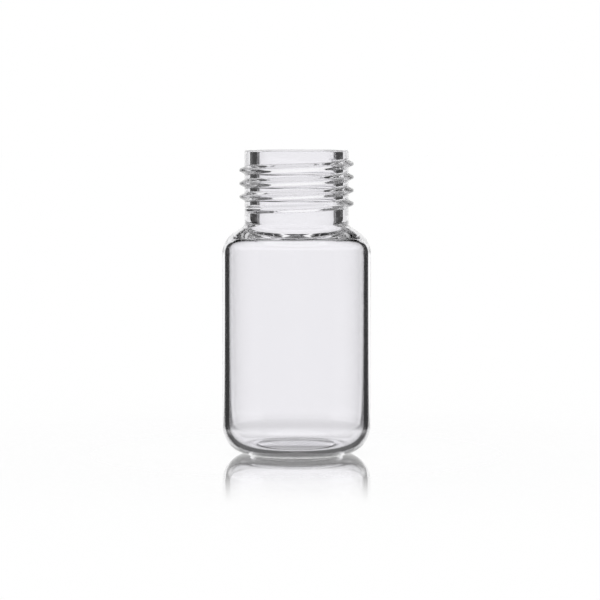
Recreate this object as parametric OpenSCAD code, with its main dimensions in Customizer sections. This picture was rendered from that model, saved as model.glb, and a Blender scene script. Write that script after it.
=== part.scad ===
// Clear glass sample vial with an external screw thread, open at the mouth.
// Made from one piece of glass tube: rounded heel, straight wall, sloped
// shoulder and a thick formed neck. Millimetres, +Z up, origin at the centre
// of the circle that the vial stands on.

/* [Body] */
// Overall height, from the foot to the rim
height = 46; // [40:0.5:80]
// Outside diameter of the body
body_d = 22.5; // [21:0.1:30]
// Thickness of the body's wall
wall = 1; // [0.7:0.05:1.3]
// Outside radius of the heel, where the wall turns into the base
heel_r = 4.2; // [3:0.1:5]
// Inside radius at the bottom corner
inner_heel_r = 3.2; // [2:0.1:4]

/* [Base] */
// Thickness of the glass at the centre of the base
base_t = 0.95; // [0.8:0.05:2.5]
// Height of the hollow under the base, above the foot
push_up_h = 0.6; // [0.2:0.05:0.9]
// Width of the flat ring that the vial stands on
foot_w = 1.2; // [0.6:0.1:2]
// Rounding between the foot ring and the hollow
foot_r = 1; // [0.8:0.1:2.5]
// Rise of the inside floor from its lowest circle to its centre
floor_rise = 0.5; // [0.15:0.05:0.6]

/* [Shoulder] */
// Outside radius of the bend from the wall into the shoulder
shoulder_r = 3.8; // [2.5:0.1:4.2]
// Outside slope of the shoulder, from the vertical
shoulder_angle = 55; // [45:1:62]
// Inside radius of the bend from the wall into the shoulder
inner_shoulder_r = 2.2; // [1.6:0.1:2.8]
// Height of the inside bend's centre above the outside bend's centre
inner_shoulder_rise = 0.25; // [0:0.05:0.6]
// Inside slope of the shoulder, from the vertical
inner_angle = 65; // [50:1:70]
// Radius of the hollow bend between the shoulder and the neck, outside
neck_root_r = 0.5; // [0.3:0.1:1]
// Radius of the bend between the bore and the shoulder, inside
bore_root_r = 3; // [0.6:0.1:3.6]

/* [Neck] */
// Outside diameter of the neck, between the turns of the thread
neck_d = 15.7; // [15:0.1:17]
// Diameter of the bore through the neck
bore_d = 12; // [10:0.1:13]
// Height of the neck, from the shoulder to the rim
neck_h = 11.35; // [10.9:0.05:14]
// Rounding of the rim's outer and inner edges
rim_r = 0.5; // [0.3:0.05:0.7]

/* [Thread] */
// How far the thread stands out of the neck
thread_depth = 0.8; // [0.5:0.05:1.1]
// Rise of the thread in one turn
thread_pitch = 2; // [1.8:0.05:2.2]
// Number of turns, with the tapered ends
thread_turns = 3.65; // [3:0.05:4.2]
// Width of the thread where it meets the neck
thread_w = 1.3; // [1.1:0.05:1.7]
// Radius of the thread's rounded crest
crest_r = 0.34; // [0.2:0.01:0.4]
// Distance from the rim down to the middle of the thread's upper end
thread_drop = 1.8; // [0.8:0.05:2.2]
// Angle over which each end of the thread tapers out of the neck
taper_angle = 55; // [30:1:90]
// Direction in which the thread's lower end lies, from +X towards +Y
thread_start = 175; // [0:1:359]

/* [Hidden] */
$fn = 96;
dome_fn = 360; // facets of the wide, shallow domes
glass_colour = [0.86, 0.9, 0.91, 0.45];

// Outline values, in the half plane of radius and height
body_r = body_d / 2;
cavity_r = body_r - wall;
neck_r = neck_d / 2;
bore_r = bore_d / 2;
foot_outer_r = body_r - heel_r;
foot_inner_r = foot_outer_r - foot_w;
past = 1; // how far a cut runs past the surface it opens

// Unit vectors square to the shoulder's two slopes, pointing out of the glass
slope_out = [cos(shoulder_angle), sin(shoulder_angle)];
inner_out = [cos(inner_angle), sin(inner_angle)];
// Where the outside slope would meet the neck without a bend, and the
// distance of that slope from the origin
neck_foot = [neck_r, height - neck_h];
outer_slope = neck_foot * slope_out;
// Centres of the shoulder's bends, outside and inside
shoulder_centre_r = body_r - shoulder_r;
shoulder_centre = [
    shoulder_centre_r,
    (outer_slope - shoulder_r - shoulder_centre_r * slope_out.x) / slope_out.y
];
inner_shoulder_centre = [
    cavity_r - inner_shoulder_r,
    shoulder_centre.y + inner_shoulder_rise
];
inner_slope = inner_shoulder_centre * inner_out + inner_shoulder_r;

// Centre of a bend that touches a vertical line at radius r and a slope, and
// lies outside of both. The slope is square to out, at distance d from the
// origin.
function bend_centre(r, d, out, bend) =
    [r + bend, (d + bend - (r + bend) * out.x) / out.y];

// Radius of a dome that rises by rise at the axis and is tangent to a corner
// of radius corner whose centre is at centre_r
function dome_radius(centre_r, corner, rise) =
    (centre_r * centre_r - 2 * corner * rise + rise * rise) / (2 * rise);

// Where such a dome touches such a corner: [radius, height above the lowest
// point of the corner]
function dome_touch(centre_r, corner, rise) =
    let (lean = asin(centre_r / (dome_radius(centre_r, corner, rise) + corner)))
    [centre_r - corner * sin(lean), corner * (1 - cos(lean))];

// A round piece of a section, at a place
module round_at(centre, r) {
    translate(centre) circle(r);
}

// Half section of the solid glass, before it is hollowed out
module outer_section() {
    heel_centre = [foot_outer_r, heel_r];
    rim_centre = [neck_r - rim_r, height - rim_r];
    root = bend_centre(neck_r, outer_slope, slope_out, neck_root_r);
    difference() {
        union() {
            polygon([
                [0, 0],
                [foot_outer_r, 0],
                [body_r, heel_r],
                [body_r, shoulder_centre.y],
                shoulder_centre + shoulder_r * slope_out,
                root - neck_root_r * slope_out,
                root,
                [neck_r, root.y],
                [neck_r, rim_centre.y],
                [rim_centre.x, height],
                [0, height]
            ]);
            round_at(heel_centre, heel_r);
            round_at(shoulder_centre, shoulder_r);
            round_at(rim_centre, rim_r);
        }
        round_at(root, neck_root_r);
        push_up_section();
    }
}

// Half section of the hollow under the base
module push_up_section() {
    dome_r = dome_radius(foot_inner_r, foot_r, push_up_h);
    touch = dome_touch(foot_inner_r, foot_r, push_up_h);
    intersection() {
        translate([0, push_up_h - dome_r]) circle(dome_r, $fn = dome_fn);
        translate([0, -past]) square([touch.x, past + 2 * push_up_h]);
    }
    difference() {
        polygon([
            [0, -past],
            [foot_inner_r, -past],
            [foot_inner_r, 0],
            touch,
            [0, touch.y]
        ]);
        round_at([foot_inner_r, foot_r], foot_r);
    }
}

// Half section of the inside: floor, cavity, shoulder and bore
module cavity_section() {
    floor_low = push_up_h + base_t - floor_rise;
    corner_r = cavity_r - inner_heel_r;
    dome_r = dome_radius(corner_r, inner_heel_r, floor_rise);
    touch = dome_touch(corner_r, inner_heel_r, floor_rise);
    root = bend_centre(bore_r, inner_slope, inner_out, bore_root_r);
    lip = [bore_r + rim_r, height - rim_r];
    difference() {
        union() {
            polygon([
                [0, floor_low],
                [touch.x, floor_low + touch.y],
                [cavity_r, floor_low + inner_heel_r],
                [cavity_r, inner_shoulder_centre.y],
                inner_shoulder_centre + inner_shoulder_r * inner_out,
                root - bore_root_r * inner_out,
                root,
                [bore_r, root.y],
                [bore_r, lip.y],
                lip,
                [lip.x, height + past],
                [0, height + past]
            ]);
            round_at([corner_r, floor_low + inner_heel_r], inner_heel_r);
            round_at(inner_shoulder_centre, inner_shoulder_r);
        }
        translate([0, floor_low + floor_rise - dome_r])
            circle(dome_r, $fn = dome_fn);
        round_at(root, bore_root_r);
        round_at(lip, rim_r);
    }
}

// Thread values
sections_per_turn = 60;
crest_points = 5;
embed = 0.3; // how deep the thread's foot reaches into the neck
knee = 0.04; // depth below the neck's surface at which the flanks end
end_share = 0.08; // share of its full height that each buried end keeps
end_width = 0.4; // share of its full width that each end keeps
thread_rise = thread_turns * thread_pitch;
thread_low = height - thread_drop - thread_rise;
// Angle of a flank that runs from the thread's foot and touches its crest
flank_run = thread_depth - crest_r;
flank_angle = acos(crest_r / norm([thread_w / 2, flank_run]))
    - atan2(flank_run, thread_w / 2);

// Half of the thread's width at a height above the neck's surface
function flank_half(h) =
    thread_w / 2 - h * tan(flank_angle);

// Outline of the thread's section: [height above its foot, place along Z]
thread_section = concat(
    [[0, -flank_half(-knee)], [embed - knee, -flank_half(-knee)]],
    [for (i = [0 : crest_points - 1])
        let (lean = (90 - flank_angle) * (2 * i / (crest_points - 1) - 1))
        [embed + thread_depth - crest_r * (1 - cos(lean)), crest_r * sin(lean)]],
    [[embed - knee, flank_half(-knee)], [0, flank_half(-knee)]]
);

// How full the thread is at a share of its length: 0 at its two ends, 1 where
// it has its whole section
function thread_fullness(share) =
    let (from_end = min(share, 1 - share) * thread_turns * 360,
         ease = min(1, from_end / taper_angle))
    (1 - cos(180 * ease)) / 2;

// The thread: its section swept along the helix, with ends that sink into
// the neck
module thread() {
    steps = round(sections_per_turn * thread_turns);
    count = len(thread_section);
    points = [
        for (i = [0 : steps], p = thread_section)
            let (share = i / steps,
                 full = thread_fullness(share),
                 turn = thread_start + share * thread_turns * 360,
                 r = neck_r - embed + p.x * (end_share + (1 - end_share) * full),
                 z = thread_low + share * thread_rise
                     + p.y * (end_width + (1 - end_width) * full))
            [r * cos(turn), r * sin(turn), z]
    ];
    sides = [
        for (i = [0 : steps - 1], k = [0 : count - 1])
            let (a = i * count + k, b = i * count + (k + 1) % count)
            [a, b, b + count, a + count]
    ];
    start_cap = [for (k = [count - 1 : -1 : 0]) k];
    end_cap = [for (k = [0 : count - 1]) steps * count + k];
    polyhedron(points, concat(sides, [start_cap, end_cap]), convexity = 10);
}

// The vial: one piece of glass
module glass_vial() {
    color(glass_colour)
        union() {
            rotate_extrude() difference() {
                outer_section();
                cavity_section();
            }
            thread();
        }
}

glass_vial();
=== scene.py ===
# %% [markdown]
# # A clear glass sample vial with a screw neck
#
# The object is one piece of glass: a straight tube with a round heel, a sloped shoulder and a thick
# formed neck that carries a thread. It has no cap and nothing in it, so everything that the eye reads
# comes from how the glass bends light. The lesson builds it in the order in which it matters: one
# exact section, one turn of that section round the axis, the thread, the glass, and then the white
# table and the light that draws the edges of clear glass.

# %% Load the frame
import math

import bpy
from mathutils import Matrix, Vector


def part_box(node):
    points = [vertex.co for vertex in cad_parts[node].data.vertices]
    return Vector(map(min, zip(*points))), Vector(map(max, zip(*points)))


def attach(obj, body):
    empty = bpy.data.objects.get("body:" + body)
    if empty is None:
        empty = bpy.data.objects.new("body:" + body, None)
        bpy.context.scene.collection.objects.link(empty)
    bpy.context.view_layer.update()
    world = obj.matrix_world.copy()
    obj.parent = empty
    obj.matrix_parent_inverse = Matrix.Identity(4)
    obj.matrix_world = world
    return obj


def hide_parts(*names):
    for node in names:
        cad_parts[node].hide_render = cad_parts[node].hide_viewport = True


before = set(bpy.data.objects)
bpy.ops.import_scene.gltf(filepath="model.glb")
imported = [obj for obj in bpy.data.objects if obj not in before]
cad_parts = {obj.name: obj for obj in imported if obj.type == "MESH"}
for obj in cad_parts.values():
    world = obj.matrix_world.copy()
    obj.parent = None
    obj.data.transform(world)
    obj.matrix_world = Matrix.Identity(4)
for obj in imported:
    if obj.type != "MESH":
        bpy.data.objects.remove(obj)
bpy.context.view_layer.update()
low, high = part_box("glass_vial")
print("vial in the frame, mm:", [round(1000 * v, 2) for v in (*low, *high)])

# %% [markdown]
# ## Sizes
#
# The body and the height are read from the frame, so that the dressed vial can't differ from it. The
# rest are the sizes of such a vial, in millimetres, in the order in which the outline meets them:
# base, heel, wall, shoulder, neck, rim and bore.

# %% Sizes of the base and the body
MM = 0.001
HEIGHT = high.z / MM
BODY_R = high.x / MM
WALL = 1.0
HEEL_R = 4.2
INNER_HEEL_R = 3.2
BASE_T = 0.95
PUSH_UP_H = 0.6
FOOT_W = 1.2
FOOT_R = 1.0
FLOOR_RISE = 0.5
print("height and radius of the body, mm:", round(HEIGHT, 2), round(BODY_R, 2))

# %% Sizes of the shoulder and the neck
SHOULDER_R = 3.8
SHOULDER_ANGLE = math.radians(55)
NECK_ROOT_R = 0.5
INNER_SHOULDER_R = 2.2
INNER_SHOULDER_RISE = 0.25
INNER_ANGLE = math.radians(65)
BORE_ROOT_R = 3.0
NECK_R = 7.85
BORE_R = 6.0
NECK_H = 11.35
RIM_R = 0.3
print("glass in the neck, mm:", round(NECK_R - BORE_R, 2))

# %% [markdown]
# ## Where the bends sit
#
# Formed glass has no sharp corner: the wall turns into the shoulder, and the shoulder into the neck,
# by round bends that touch the straight parts without a kink. Bends could be added with a bevel
# afterwards, but then their radius changes with the angle. Working out each bend's centre first
# gives the exact radius, outside and inside.

# %% The slopes of the shoulder and the centres of its bends
cavity_r = BODY_R - WALL
slope_out = Vector((math.cos(SHOULDER_ANGLE), math.sin(SHOULDER_ANGLE)))
outer_slope = Vector((NECK_R, HEIGHT - NECK_H)).dot(slope_out)
shoulder_x = BODY_R - SHOULDER_R
shoulder_z = (outer_slope - SHOULDER_R - shoulder_x * slope_out.x) / slope_out.y
shoulder = Vector((shoulder_x, shoulder_z))
inner_out = Vector((math.cos(INNER_ANGLE), math.sin(INNER_ANGLE)))
inner_shoulder = Vector((cavity_r - INNER_SHOULDER_R, shoulder_z + INNER_SHOULDER_RISE))
inner_slope = inner_shoulder.dot(inner_out) + INNER_SHOULDER_R
print("shoulder bend turns about, mm:", [round(v, 2) for v in shoulder])

# %% The bends at the foot of the neck and the bore


def bend_centre(radius, slope, out, bend):
    """Centre of a bend outside both the upright line at radius and the slope square to out."""
    x = radius + bend
    return Vector((x, (slope + bend - x * out.x) / out.y))


neck_root = bend_centre(NECK_R, outer_slope, slope_out, NECK_ROOT_R)
bore_root = bend_centre(BORE_R, inner_slope, inner_out, BORE_ROOT_R)
print("the neck and the bore start at, mm:", round(neck_root.y, 2), round(bore_root.y, 2))

# %% The shallow domes of the hollow and the floor


def dome(centre_r, corner, rise):
    """Radius of a dome tangent to a round corner, and how far it leans there, in degrees."""
    radius = (centre_r**2 - 2 * corner * rise + rise**2) / (2 * rise)
    return radius, math.degrees(math.asin(centre_r / (radius + corner)))


foot_outer = BODY_R - HEEL_R
foot_inner = foot_outer - FOOT_W
push_r, push_lean = dome(foot_inner, FOOT_R, PUSH_UP_H)
corner_r = cavity_r - INNER_HEEL_R
floor_low = PUSH_UP_H + BASE_T - FLOOR_RISE
floor_r, floor_lean = dome(corner_r, INNER_HEEL_R, FLOOR_RISE)
print("radius of the hollow and of the floor, mm:", round(push_r, 1), round(floor_r, 1))

# %% [markdown]
# ## One half section
#
# A vial is round, so only half of its section has to be drawn. A modeller could place a curve or type
# in coordinates. Here the section grows from one point, as it would by hand: a straight wall is that
# point extruded, and a rounded one is that point spun about the centre of its bend, so every bend is a
# true arc. The start point is a plane merged to its centre.
#
# Smooth shading leans a face's normals towards its neighbours, and on a long straight wall that would
# bend the view through the glass. A short guard step at each end of a straight wall keeps it flat.

# %% Start a section, and keep in mind where its last point is
pen = {"at": None}


def start_section(name, x, z):
    """A new mesh in edit mode that is one selected point, at (x, z) in millimetres."""
    bpy.ops.object.select_all(action="DESELECT")
    bpy.ops.mesh.primitive_plane_add(size=MM, location=(0, 0, 0))
    piece = bpy.context.object
    piece.name = piece.data.name = name
    bpy.ops.object.mode_set(mode="EDIT")
    bpy.ops.mesh.merge(type="CENTER")
    bpy.ops.transform.translate(value=(x * MM, 0, z * MM))
    pen["at"] = Vector((x, z))
    return piece


vial = start_section("vial", 0, PUSH_UP_H)
print("the section starts at, mm:", [round(v, 2) for v in pen["at"]])

# %% Tools for drawing straight walls and bends
GUARD = 0.12
SHORTEST_GUARDED = 4 * GUARD


def step_to(x, z):
    """Extrudes the selected point to (x, z)."""
    step = (Vector((x, z)) - pen["at"]) * MM
    bpy.ops.mesh.extrude_region_move(TRANSFORM_OT_translate={"value": (step.x, 0, step.y)})
    pen["at"] = Vector((x, z))


def wall_to(x, z):
    """A straight wall to (x, z), with a guard step at each end."""
    there = Vector((x, z))
    run = there - pen["at"]
    if run.length > SHORTEST_GUARDED:
        near = pen["at"] + run.normalized() * GUARD
        far = there - run.normalized() * GUARD
        step_to(*near)
        step_to(*far)
    step_to(x, z)


def bend_to(centre, degrees, steps):
    """Spins the selected point about a centre, so that it draws an arc."""
    turn = math.radians(degrees)
    bpy.ops.mesh.spin(
        steps=steps, angle=turn, center=(centre[0] * MM, 0, centre[1] * MM), axis=(0, 1, 0)
    )
    arm = pen["at"] - Vector(centre)
    c, s = math.cos(turn), math.sin(turn)
    pen["at"] = Vector(centre) + Vector((c * arm.x - s * arm.y, s * arm.x + c * arm.y))


print("guard step, mm:", GUARD)

# %% Draw the hollow under the base, the foot ring and the heel
HOLLOW_STEPS = 12
FOOT_STEPS = 5
HEEL_STEPS = 26
bend_to((0, PUSH_UP_H - push_r), -push_lean, HOLLOW_STEPS)
bend_to((foot_inner, FOOT_R), push_lean, FOOT_STEPS)
wall_to(foot_outer, 0)
bend_to((foot_outer, HEEL_R), 90, HEEL_STEPS)
print("heel drawn to, mm:", [round(v, 2) for v in pen["at"]])

# %% Draw the body's wall and the shoulder
SHOULDER_STEPS = 18
ROOT_STEPS = 6
slope_lean = math.degrees(SHOULDER_ANGLE)
wall_to(BODY_R, shoulder.y)
bend_to(shoulder, slope_lean, SHOULDER_STEPS)
wall_to(*(neck_root - slope_out * NECK_ROOT_R))
bend_to(neck_root, -slope_lean, ROOT_STEPS)
print("shoulder drawn to, mm:", [round(v, 2) for v in pen["at"]])

# %% [markdown]
# ### The neck's wall
#
# The thread is going to be pushed out of the neck's own wall, so this wall needs points that lie
# much closer than the thread is wide. They could be added later with a subdivision. Extruding the
# wall in short rows puts them in place at once, from just under the thread up to the rim.

# %% Draw the neck's outer wall with rows close enough for the thread, and the rim
THREAD_PITCH = 2.0
THREAD_TURNS = 3.65
THREAD_W = 1.2
THREAD_DROP = 1.8
THREAD_ROWS = 240
ROW_MARGIN = 0.1
RIM_STEPS = 8
thread_low = HEIGHT - THREAD_DROP - THREAD_TURNS * THREAD_PITCH
thread_foot = thread_low - THREAD_W / 2 - ROW_MARGIN
neck_top = HEIGHT - RIM_R
row_h = (neck_top - thread_foot) / THREAD_ROWS
wall_to(NECK_R, thread_foot)
for row in range(THREAD_ROWS):
    step_to(NECK_R, thread_foot + row_h * (row + 1))
bend_to((NECK_R - RIM_R, neck_top), 90, RIM_STEPS)
wall_to(BORE_R + RIM_R, HEIGHT)
print("rows on the neck:", THREAD_ROWS, "of, mm:", round(row_h, 3))

# %% [markdown]
# ### The inside
#
# The inside of a formed vial isn't the outside made smaller: the bore is narrower than the neck by
# two thick walls, and the floor is a shallow dome. A Solidify modifier would give one thickness
# everywhere, so the inside is drawn too, down from the rim, with bends of its own.

# %% Draw the inside: bore, shoulder, wall and floor
BORE_ROOT_STEPS = 12
FLOOR_STEPS = 14
inner_lean = math.degrees(INNER_ANGLE)
bend_to((BORE_R + RIM_R, neck_top), 90, RIM_STEPS)
wall_to(BORE_R, bore_root.y)
bend_to(bore_root, inner_lean, BORE_ROOT_STEPS)
wall_to(*(inner_shoulder + inner_out * INNER_SHOULDER_R))
bend_to(inner_shoulder, -inner_lean, SHOULDER_STEPS)
wall_to(cavity_r, floor_low + INNER_HEEL_R)
bend_to((corner_r, floor_low + INNER_HEEL_R), -(90 + floor_lean), HEEL_STEPS)
bend_to((0, floor_low + FLOOR_RISE - floor_r), floor_lean, FLOOR_STEPS)
print("the section ends at, mm:", [round(v, 4) for v in pen["at"]])

# %% [markdown]
# ## From section to solid
#
# Spinning the whole section once round the upright axis makes the vial in one go, outside and inside
# together, so the wall has its real thickness everywhere. The first and last columns and the points on
# the axis then lie on each other: merging them closes the seam and the two poles. The normals are made
# to point out of the glass after that, because the glass shader needs to know which side is glass.

# %% Spin the section and close it
COLUMNS = 200
MERGE = 0.001
bpy.ops.mesh.select_all(action="SELECT")
bpy.ops.mesh.spin(steps=COLUMNS, angle=math.tau, center=(0, 0, 0), axis=(0, 0, 1))
bpy.ops.mesh.select_all(action="SELECT")
bpy.ops.mesh.remove_doubles(threshold=MERGE * MM)
bpy.ops.mesh.normals_make_consistent(inside=False)
bpy.ops.object.mode_set(mode="OBJECT")
print("points and faces:", len(vial.data.vertices), len(vial.data.polygons))

# %% [markdown]
# ## The thread
#
# A screw thread can be swept along a helix and joined to the neck, but a join leaves a crease, and
# formed glass has none: the ridge swells out of the wall and sinks back into it. So the thread is
# painted as a weight on the neck's own points, from 0 in the groove to 1 on the crest, and Displace
# pushes them out by the thread's depth. Where the height along the neck is measured from the nearest
# turn of the helix, the ridge climbs by itself, and its two ends fade over their taper.

# %% The ridge's section: a round crest, straight flanks and a soft root
THREAD_DEPTH = 0.8
CREST_R = 0.3
ROOT = 0.08
half_base = THREAD_W / 2
flank_run = THREAD_DEPTH - CREST_R
flank = math.acos(CREST_R / math.hypot(half_base, flank_run)) - math.atan2(flank_run, half_base)


def ridge_height(off):
    """Height of the ridge above the neck, at a distance from its middle line."""
    if off < CREST_R * math.cos(flank):
        return THREAD_DEPTH - CREST_R + math.sqrt(CREST_R**2 - off**2)
    slope = (half_base - off) / math.tan(flank)
    return (slope + math.hypot(slope, ROOT)) / 2


print("flanks lean by, degrees:", round(math.degrees(flank), 1))

# %% The ridge along its helix
THREAD_START = math.radians(175)
THREAD_TAPER = math.radians(55)
thread_turn = THREAD_TURNS * math.tau
groove = ridge_height(THREAD_PITCH / 2)


def thread_share(angle, z):
    """Share of the thread's full height at an angle round the neck and a height in millimetres."""
    turn = (angle - THREAD_START) % math.tau
    low_turn = thread_low + THREAD_PITCH * turn / math.tau
    lap = max(0, round((z - low_turn) / THREAD_PITCH))
    along = turn + lap * math.tau
    from_end = min(along, thread_turn - along)
    if from_end <= 0:
        return 0.0
    ease = min(1.0, from_end / THREAD_TAPER)
    full = (1 - math.cos(math.pi * ease)) / 2
    off = abs(z - low_turn - lap * THREAD_PITCH)
    return full * max(0.0, ridge_height(off) - groove) / (THREAD_DEPTH - groove)


print("thread turns by, degrees:", round(math.degrees(thread_turn)))

# %% Paint the thread's height as a weight on the neck's points
ridge_group = vial.vertex_groups.new(name="thread")
painted = 0
for v in vial.data.vertices:
    radius = math.hypot(v.co.x, v.co.y) / MM
    z = v.co.z / MM
    if abs(radius - NECK_R) < MERGE and thread_foot - MERGE < z < neck_top + MERGE:
        share = thread_share(math.atan2(v.co.y, v.co.x), z)
        if share > 0:
            ridge_group.add([v.index], share, "REPLACE")
            painted += 1
print("points under the thread:", painted)

# %% Push the thread out of the neck
bpy.ops.object.select_all(action="DESELECT")
vial.select_set(True)
bpy.context.view_layer.objects.active = vial
push = vial.modifiers.new("thread", "DISPLACE")
push.direction = "NORMAL"
push.vertex_group = ridge_group.name
push.mid_level = 0
push.strength = THREAD_DEPTH * MM
bpy.ops.object.modifier_apply(modifier=push.name)
bpy.ops.object.shade_smooth()
crest = max(math.hypot(v.co.x, v.co.y) for v in vial.data.vertices if v.co.z > thread_foot * MM)
print("thread reaches a radius of, mm:", round(crest / MM, 3))

# %% [markdown]
# ## Clear glass
#
# The glass is borosilicate: almost no colour, an index of refraction a little under window glass, and
# a fire-polished skin. What tells a formed vial from a perfect one is that its wall is never quite
# even, so a wide and very shallow noise tilts the surface by a fraction of a degree.

# %% The glass material
GLASS_TINT = (0.985, 0.980, 1.0, 1)
GLASS_IOR = 1.48
glass = bpy.data.materials.new("clear_glass")
glass.use_nodes = True
nodes, links = glass.node_tree.nodes, glass.node_tree.links
skin = nodes["Principled BSDF"]
skin.inputs["Base Color"].default_value = GLASS_TINT
skin.inputs["Roughness"].default_value = 0.0
skin.inputs["IOR"].default_value = GLASS_IOR
skin.inputs["Transmission Weight"].default_value = 1.0
print("index of refraction:", GLASS_IOR)

# %% The wall's faint waves
WAVE_SCALE = 160
WAVE_STRENGTH = 0.15
WAVE_DEPTH = 0.00001
place = nodes.new("ShaderNodeTexCoord")
waves = nodes.new("ShaderNodeTexNoise")
waves.inputs["Scale"].default_value = WAVE_SCALE
waves.inputs["Detail"].default_value = 1.0
bump = nodes.new("ShaderNodeBump")
bump.inputs["Strength"].default_value = WAVE_STRENGTH
bump.inputs["Distance"].default_value = WAVE_DEPTH
links.new(place.outputs["Object"], waves.inputs["Vector"])
links.new(waves.outputs["Fac"], bump.inputs["Height"])
links.new(bump.outputs["Normal"], skin.inputs["Normal"])
print("waves to the metre:", WAVE_SCALE)

# %% Put the glass on the vial, and let the vial stand for its node in the frame
vial.data.materials.clear()
vial.data.materials.append(glass)
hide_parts("glass_vial")
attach(vial, "root")
print("glass on:", vial.name)

# %% [markdown]
# ## The table
#
# The vial stands on a white, polished sheet. It shows a soft mirror image of the foot that fades
# within a few centimetres, and the faint shadow that clear glass leaves. A plane with one material
# is enough for it. Half of its white is its own light, so that it stays white without strong lamps
# on the vial, and half is lit, so that it keeps the shadow.

# %% The sheet
FLOOR_SIZE = 6.0
bpy.ops.object.select_all(action="DESELECT")
bpy.ops.mesh.primitive_plane_add(size=FLOOR_SIZE, location=(0, 0, 0))
floor = bpy.context.object
floor.name = "table"
floor.visible_glossy = False
sheet = bpy.data.materials.new("white_table")
sheet.use_nodes = True
tree = sheet.node_tree
tree.nodes.remove(tree.nodes["Principled BSDF"])
print("table, m:", FLOOR_SIZE)

# %% Where a point of the sheet lies, and how flat the view of it is
spot = tree.nodes.new("ShaderNodeTexCoord").outputs["Object"]
length = tree.nodes.new("ShaderNodeVectorMath")
length.operation = "LENGTH"
tree.links.new(spot, length.inputs[0])
reach = length.outputs["Value"]
apart = tree.nodes.new("ShaderNodeSeparateXYZ")
tree.links.new(spot, apart.inputs[0])
facing = tree.nodes.new("ShaderNodeLayerWeight").outputs["Facing"]
print("nodes in the sheet so far:", len(tree.nodes))

# %% Sums and soft steps in nodes
STEP_KIND = "SMOOTHSTEP"


def math_node(tree, kind, a, b=None):
    """A Math node on sockets or numbers."""
    n = tree.nodes.new("ShaderNodeMath")
    n.operation = kind
    for i, v in enumerate((a, b)):
        if v is None:
            continue
        if isinstance(v, (int, float)):
            n.inputs[i].default_value = v
        else:
            tree.links.new(v, n.inputs[i])
    return n.outputs[0]


def times(tree, a, b):
    """One level dimmed by another."""
    return math_node(tree, "MULTIPLY", a, b)


def ramp(tree, value, a, b, lo=0.0, hi=1.0):
    """A smooth step from lo to hi as value goes from a to b."""
    n = tree.nodes.new("ShaderNodeMapRange")
    n.interpolation_type = STEP_KIND
    tree.links.new(value, n.inputs["Value"])
    n.inputs["From Min"].default_value = a
    n.inputs["From Max"].default_value = b
    n.inputs["To Min"].default_value = lo
    n.inputs["To Max"].default_value = hi
    return n.outputs["Result"]


print("kind of step:", STEP_KIND)

# %% The share of the mirror: more the flatter the sheet is seen, and less away from the foot
GLOSS_FROM = 0.45
GLOSS_TO = 0.9
MIRROR_SHARE = 0.9
MIRROR_FULL = 0.012
MIRROR_END = 0.062
gloss = times(tree, ramp(tree, facing, GLOSS_FROM, GLOSS_TO, 0.0, MIRROR_SHARE),
              ramp(tree, reach, MIRROR_FULL, MIRROR_END, 1.0, 0.0))
print("mirror image ends at, mm:", round(MIRROR_END / MM))

# %% The sheet's own look: white with a polish
SELF_LIT = 0.5
POLISH = 0.03


def shader_mix(tree, share, a, b):
    """A Mix Shader node."""
    n = tree.nodes.new("ShaderNodeMixShader")
    tree.links.new(share, n.inputs[0])
    tree.links.new(a, n.inputs[1])
    tree.links.new(b, n.inputs[2])
    return n.outputs[0]


matt = tree.nodes.new("ShaderNodeBsdfDiffuse")
matt.inputs["Color"].default_value = (1 - SELF_LIT, 1 - SELF_LIT, 1 - SELF_LIT, 1)
own_light = tree.nodes.new("ShaderNodeEmission")
own_light.inputs["Color"].default_value = (1, 1, 1, 1)
own_light.inputs["Strength"].default_value = SELF_LIT
glow = tree.nodes.new("ShaderNodeAddShader")
tree.links.new(matt.outputs[0], glow.inputs[0])
tree.links.new(own_light.outputs[0], glow.inputs[1])
polish = tree.nodes.new("ShaderNodeBsdfGlossy")
polish.inputs["Color"].default_value = (1, 1, 1, 1)
polish.inputs["Roughness"].default_value = POLISH
seen = shader_mix(tree, gloss, glow.outputs[0], polish.outputs[0])
print("share of the white that is the sheet's own light:", SELF_LIT)

# %% [markdown]
# ## The light that draws clear glass
#
# Clear glass has no colour to show, so what stands round it has to draw it. In a studio the vial
# stands in front of a lit field, and dark flags out of the view turn its edges into black lines. The
# flags could be modelled as panels, but panels also darken the sheet and stand in its mirror image.
# Here the level of the light is worked out from its direction, and only light that has met the glass
# uses it: the camera, the sheet and its mirror image have plain white.
#
# Directions round the vial are in degrees from straight behind it: 0 is behind, 90 is either side
# and 180 is in front. A white field stands in the middle of each quarter, and flags stand between
# them. The four are alike only for light that goes straight through: reflected light has its main
# field behind, so the vial is greyer when it is seen from the side.

# %% Fields and flags round the vial
DIM = 0.04
EDGE = 2
QUARTER = 90
WINDOW = 27
BACK_LIGHT = 24


def degrees_from_back(tree, x, y):
    """Degrees round the vial from straight behind it, with their sign and without it."""
    turn = math_node(tree, "DEGREES", math_node(tree, "ARCTAN2", x, y))
    return turn, math_node(tree, "ABSOLUTE", turn)


def four_fields(tree, turn):
    """White in the middle of each quarter, with dark flags between."""
    # The half puts a field in the middle of its part, and the 4 keeps the sum above 0
    parts = math_node(tree, "ADD", math_node(tree, "DIVIDE", turn, QUARTER), 4.5)
    from_middle = math_node(tree, "SUBTRACT", math_node(tree, "FRACT", parts), 0.5)
    off = times(tree, math_node(tree, "ABSOLUTE", from_middle), QUARTER)
    return ramp(tree, off, WINDOW - EDGE, WINDOW + EDGE, 1.0, DIM)


def back_field(tree, turned, inside=1.0, outside=DIM):
    """One level straight behind the vial and another all round."""
    return ramp(tree, turned, BACK_LIGHT - EDGE, BACK_LIGHT + EDGE, inside, outside)


turn, turned = degrees_from_back(tree, apart.outputs["X"], apart.outputs["Y"])
print("half widths of the fields, degrees:", WINDOW, BACK_LIGHT)

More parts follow.
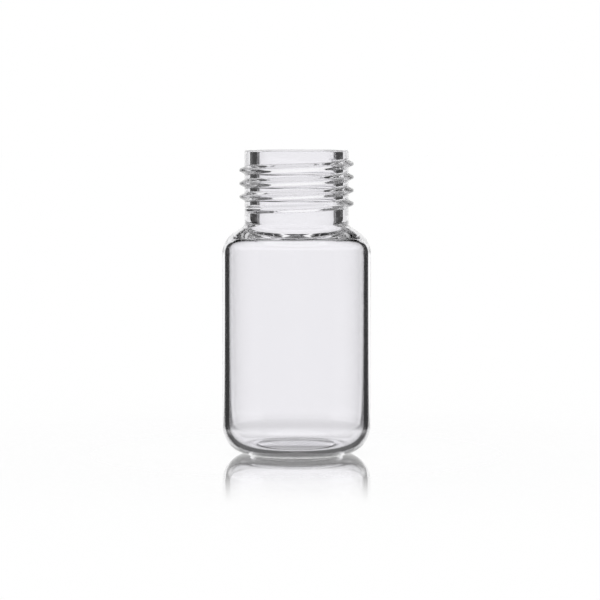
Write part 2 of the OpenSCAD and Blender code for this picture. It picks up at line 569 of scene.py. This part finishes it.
# %% [markdown]
# ### The table as glass shows it
#
# Light that comes through the glass may have gone straight or may have been reflected in it first,
# once or many times. A real sheet makes no difference between them. Here each kind gets its own
# painted level of the sheet's light, so that the thick glass of the neck and the heel shows dark and
# pale lines as it does among real flags. Seen flat, the sheet has a painted sheen of the fields and
# the flags beyond it, and painted shade that darkens it towards the foot. Light reflected in the glass
# sees a painted shadow under the foot. Seen from above it has its own even white.

# %% Painted sheen and painted shade, by place and by how flat the sheet is seen
PAINTED_SHEEN_FROM, PAINTED_SHEEN_TO = 0.78, 0.86
PAINTED_SHEEN_NEAR, PAINTED_SHEEN_FAR = 0.012, 0.03
FLAT_FROM, FLAT_TO = 0.84, 0.87
PAINTED_SHADE_NEAR, PAINTED_SHADE_FAR = 0.005, 0.065
PAINTED_SHADE_DARK = 0.3
SHEET_LEVEL = 0.85


def other_share(tree, share):
    """What a share leaves of the whole."""
    return math_node(tree, "SUBTRACT", 1, share)


def mix(tree, share, a, b):
    """a where share is 0 and b where it is 1."""
    return math_node(tree, "ADD", times(tree, a, other_share(tree, share)), times(tree, b, share))


# Painted sheen: where the sheet is seen flat and away from the foot, its light takes on the fields and
# flags
painted_sheen = times(tree, ramp(tree, facing, PAINTED_SHEEN_FROM, PAINTED_SHEEN_TO),
              ramp(tree, reach, PAINTED_SHEEN_NEAR, PAINTED_SHEEN_FAR))
flat = ramp(tree, facing, FLAT_FROM, FLAT_TO)
# Painted shade: seen flat, the sheet's light darkens towards the foot, to 0.3 near it; seen steeply it
# is an even 0.85
painted_flat_shade = ramp(tree, reach, PAINTED_SHADE_NEAR, PAINTED_SHADE_FAR, PAINTED_SHADE_DARK, 1.0)
painted_shade = mix(tree, flat, SHEET_LEVEL, painted_flat_shade)
print("shade ends at, mm:", round(PAINTED_SHADE_FAR / MM))

# %% The painted level of the sheet for light that went straight or was reflected once or twice
CONTACT_IN = 0.014
CONTACT_OUT = 0.024
PAINTED_CONTACT_DARK = 0.16
path = tree.nodes.new("ShaderNodeLightPath")


def reflections(tree, path, count):
    """1 for light that was reflected at least so many times, and 0 for the rest."""
    return math_node(tree, "GREATER_THAN", path.outputs["Glossy Depth"], count - 0.5)


# A painted shadow under the foot: the sheet's light is 0.16 near the foot and white beyond 24 mm
painted_contact_shadow = ramp(tree, reach, CONTACT_IN, CONTACT_OUT, PAINTED_CONTACT_DARK, 1.0)
# Straight light sees the fields and flags painted round the vial on the sheet; reflected light sees
# the painted shadow or the field behind
straight = mix(tree, painted_sheen, painted_shade, times(tree, four_fields(tree, turn), painted_shade))
reflected = mix(tree, painted_sheen, painted_contact_shadow, back_field(tree, turned))
few = mix(tree, reflections(tree, path, 1), straight, reflected)
print("dark patch under the foot ends at, mm:", round(CONTACT_OUT / MM))

# %% The painted level of the sheet for light that was reflected three times or more
TABLE_BEHIND = 0.1
TABLE_ROUND = 0.3
NARROW_BACK = 12
# Painted shade: the sheet is dim all round and darker behind, with the painted shadow under the foot;
# seen flat it is dark but for a narrow field behind
painted_dim_ring = times(tree, painted_contact_shadow, back_field(tree, turned, TABLE_BEHIND, TABLE_ROUND))
narrow = ramp(tree, turned, NARROW_BACK - EDGE, NARROW_BACK + EDGE, 1.0, DIM)
many = mix(tree, flat, painted_dim_ring, narrow)
level = mix(tree, reflections(tree, path, 3), few, many)
print("levels behind and all round:", TABLE_BEHIND, TABLE_ROUND)

# %% Put the sheet together: the painted levels glow only for light that has met the glass
# The sheet glows with the painted sheen and shade for light that comes through the glass; it is no
# lamp
painted_table_light = tree.nodes.new("ShaderNodeEmission")
painted_table_light.inputs["Color"].default_value = (1, 1, 1, 1)
tree.links.new(level, painted_table_light.inputs["Strength"])
in_glass = shader_mix(tree, gloss, painted_table_light.outputs[0], polish.outputs[0])
whole = shader_mix(tree, path.outputs["Is Transmission Ray"], seen, in_glass)
tree.links.new(whole, tree.nodes["Material Output"].inputs["Surface"])
floor.data.materials.append(sheet)
print("nodes in the sheet:", len(tree.nodes))

# %% [markdown]
# ### The world
#
# The world holds the rest of the studio: the lit fields, the flags between them and some light from
# above. Lamps could light the vial too, but each would leave a highlight, and glass in soft light has
# none. Light that is caught in a thick wall is reflected many times before it leaves, so the limits
# on its bounces are raised.

# %% A world with room for many reflections
world = bpy.data.worlds.new("studio")
bpy.context.scene.world = world
rays = bpy.context.scene.cycles
rays.max_bounces = 40
rays.glossy_bounces = 32
rays.transmission_bounces = 40
world.use_nodes = True
sky_tree = world.node_tree
sky_tree.nodes.clear()
print("bounces:", rays.max_bounces)

# %% The direction of the light, and what it has met
direction = sky_tree.nodes.new("ShaderNodeTexCoord").outputs["Generated"]
split = sky_tree.nodes.new("ShaderNodeSeparateXYZ")
sky_tree.links.new(direction, split.inputs[0])
x, y, z = split.outputs
rise = math_node(sky_tree, "DEGREES", math_node(sky_tree, "ARCSINE", z))
turn, turned = degrees_from_back(sky_tree, x, y)
path = sky_tree.nodes.new("ShaderNodeLightPath")
before_glass = math_node(sky_tree, "LESS_THAN", path.outputs["Transmission Depth"], 0.5)
print("nodes that read the light:", len(sky_tree.nodes))

# %% [markdown]
# Four kinds of light meet the world. Light that went straight through sees the four fields, and dark
# high above. Reflections on the outer skin see the field behind and, dimly, the sides. Light that was
# reflected inside the glass sees the field behind, the sides from its second reflection on, and the
# light above, which keeps the backs of the thread's ridges pale. Light that was reflected three times
# or more comes from deep in the wall, and sees a dark flag behind and a pale field all round.

# %% Straight light
STRAIGHT_TOP = 60
below = ramp(sky_tree, rise, STRAIGHT_TOP - EDGE, STRAIGHT_TOP + EDGE, 1.0, 0.0)
straight = mix(sky_tree, below, DIM, four_fields(sky_tree, turn))
print("fields for straight light end at, degrees:", STRAIGHT_TOP)

# %% Reflections on the outer skin
TOP = 22
WIDE_EDGE = 3
SIDE_FROM = 60
SIDE_TO = 120
SIDE_LIGHT = 0.35
OUTER_BACK = 32


def brighter(tree, a, b):
    """The brighter of two levels."""
    return math_node(tree, "MAXIMUM", a, b)


under_top = ramp(sky_tree, rise, TOP - EDGE, TOP + EDGE, 1.0, 0.0)
sides = times(sky_tree, ramp(sky_tree, turned, SIDE_FROM - WIDE_EDGE, SIDE_FROM + WIDE_EDGE),
              ramp(sky_tree, turned, SIDE_TO - WIDE_EDGE, SIDE_TO + WIDE_EDGE, 1.0, 0.0))
wide_back = ramp(sky_tree, turned, OUTER_BACK - EDGE, OUTER_BACK + EDGE, 1.0, DIM)
skin_round = brighter(sky_tree, wide_back, times(sky_tree, sides, SIDE_LIGHT))
on_skin = times(sky_tree, under_top, skin_round)
print("side fields, degrees and level:", SIDE_FROM, SIDE_TO, SIDE_LIGHT)

# %% Light reflected inside the glass
OVERHEAD = 60
later_sides = times(sky_tree, reflections(sky_tree, path, 2), sides)
inside_round = brighter(sky_tree, back_field(sky_tree, turned), later_sides)
above = ramp(sky_tree, rise, OVERHEAD - WIDE_EDGE, OVERHEAD + WIDE_EDGE, 0.0, 1.0)
inside = brighter(sky_tree, times(sky_tree, under_top, inside_round), above)
print("light from above starts at, degrees:", OVERHEAD)

# %% Light reflected three times or more
MANY_TOP = 5
MANY_BEHIND = 0.1
MANY_ROUND = 0.8
low_back = ramp(sky_tree, rise, MANY_TOP - EDGE, MANY_TOP + EDGE, MANY_BEHIND, DIM)
many = mix(sky_tree, back_field(sky_tree, turned, 0.0, 1.0), low_back, MANY_ROUND)
print("levels behind and all round:", MANY_BEHIND, MANY_ROUND)

# %% Choose the level by the reflections, and keep plain white for all but glass
reflected = mix(sky_tree, before_glass, inside, on_skin)
few = mix(sky_tree, reflections(sky_tree, path, 1), straight, reflected)
through = mix(sky_tree, reflections(sky_tree, path, 3), few, many)
glassy = brighter(sky_tree, path.outputs["Is Glossy Ray"], path.outputs["Is Transmission Ray"])
table_mirror = times(
    sky_tree, before_glass, other_share(sky_tree, path.outputs["Is Singular Ray"]))
in_glass = times(sky_tree, glassy, other_share(sky_tree, table_mirror))
sky = sky_tree.nodes.new("ShaderNodeBackground")
sky.inputs["Color"].default_value = (1, 1, 1, 1)
sky_tree.links.new(mix(sky_tree, in_glass, 1.0, through), sky.inputs["Strength"])
out = sky_tree.nodes.new("ShaderNodeOutputWorld")
sky_tree.links.new(sky.outputs[0], out.inputs["Surface"])
print("nodes in the world:", len(sky_tree.nodes))

# %% [markdown]
# ## The camera
#
# A small object keeps its true proportions when it is seen from some way off through a long lens.
# From 456 mm away and a little above the rim, the rim is seen almost edge on and the floor a little
# from above. The lens is worked out from the width that the view has at the vial.

# %% The camera
CAM_D = 456
CAM_Z = 52
AIM_X = 0.52
AIM_Z = 23.3
VIEW_W = 90.85403
SENSOR_W = 36
bpy.ops.object.camera_add(location=(AIM_X * MM, -CAM_D * MM, CAM_Z * MM))
cam = bpy.context.object
look = Vector((AIM_X, 0, AIM_Z)) * MM - cam.location
cam.rotation_euler = look.to_track_quat("-Z", "Y").to_euler()
cam.data.sensor_width = SENSOR_W
cam.data.lens = SENSOR_W * look.length / (VIEW_W * MM)
cam.data.clip_start = 0.01
cam.data.clip_end = 20
bpy.context.scene.camera = cam
bpy.context.scene.view_settings.view_transform = "Standard"
print("lens, mm:", round(cam.data.lens, 1))
